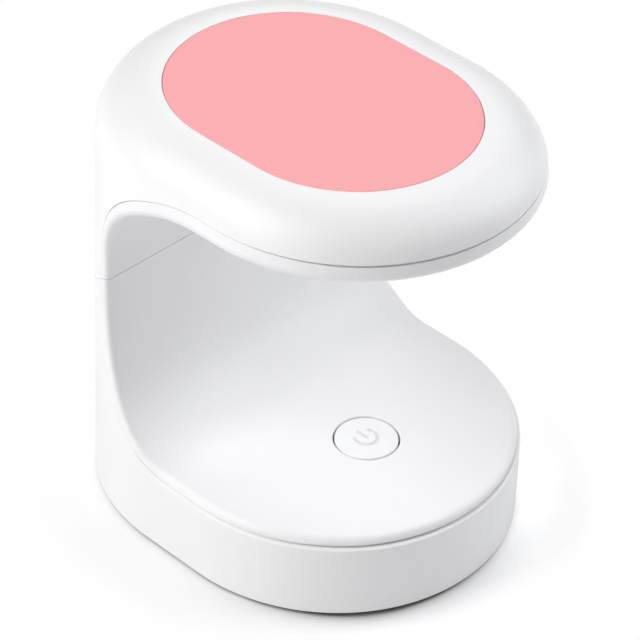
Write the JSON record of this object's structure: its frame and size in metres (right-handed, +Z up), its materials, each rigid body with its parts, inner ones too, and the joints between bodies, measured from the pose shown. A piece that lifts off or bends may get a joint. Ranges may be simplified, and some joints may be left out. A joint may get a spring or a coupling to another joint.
{
  "type": "mini uv led nail lamp",
  "caption": "Small C-shaped desk lamp for curing nail gel: stadium base with a push button, rear column, overhanging lamp head with a flush coloured top panel.",
  "frame": {"origin": "on the resting surface, under the middle of the base", "axes": "+X towards the open front, +Y to a side, +Z up"},
  "size_m": [0.0763, 0.0634, 0.0775],
  "materials": {
    "shell_white": "satin moulded white",
    "cover_white": "satin moulded white",
    "inlay_pink": "smooth even salmon pink",
    "button_white": "satin moulded white",
    "plate_white": "fine spark texture",
    "foot_rubber": "matt grey",
    "steel_screw": "zinc plated",
    "clear_window": "clear polished",
    "bright_reflector": "bright vacuum coated",
    "board_white": "white solder mask",
    "board_green": "green solder mask",
    "lamp_ceramic": "ceramic body with clear dome",
    "socket_steel": "plain plated",
    "tongue_black": "matt",
    "switch_black": "matt",
    "plunger_grey": "matt",
    "chip_black": "matt",
    "capacitor_sleeve": "plain can",
    "inductor_grey": "matt ferrite",
    "plug_white": "natural nylon",
    "lead_red": "soft insulation",
    "lead_black": "soft insulation"
  },
  "bodies": {
    "lamp_body": {"base_outer_shell": "shell_white", "base_inner_cover": "cover_white", "bottom_plate": "plate_white", "rubber_feet": "foot_rubber", "bottom_screws": "steel_screw", "head_outer_shell": "shell_white", "top_inlay_panel": "inlay_pink", "head_inner_cover": "cover_white", "led_window": "clear_window", "led_reflector": "bright_reflector", "led_board": "board_white", "uv_leds": "lamp_ceramic", "led_board_screws": "steel_screw", "led_lead_socket": "plug_white", "column_screws": "steel_screw", "control_board": "board_green", "control_board_screws": "steel_screw", "usb_socket_shell": "socket_steel", "usb_socket_tongue": "tongue_black", "tact_switch_body": "switch_black", "timer_chip": "chip_black", "led_drivers": "chip_black", "chip_resistors": "chip_black", "buffer_capacitor": "capacitor_sleeve", "boost_inductor": "inductor_grey", "board_lead_socket": "plug_white", "lead_plug": "plug_white", "lead_positive": "lead_red", "lead_negative": "lead_black"},
    "button": {"button_cap": "button_white"},
    "plunger": {"switch_plunger": "plunger_grey"}
  },
  "joints": [
    {"name": "button_press", "type": "slide", "parent": "lamp_body", "child": "button", "axis": [0, 0, -1], "range_m": [0, 0.0005], "stiffness_N_per_m": 800, "springref_m": -0.0005},
    {"name": "plunger_press", "type": "slide", "parent": "lamp_body", "child": "plunger", "axis": [0, 0, -1], "range_m": [0, 0.0005]}
  ],
  "couplings": [
    {"joint": "plunger_press", "follows": "button_press", "ratio": 1}
  ]
}
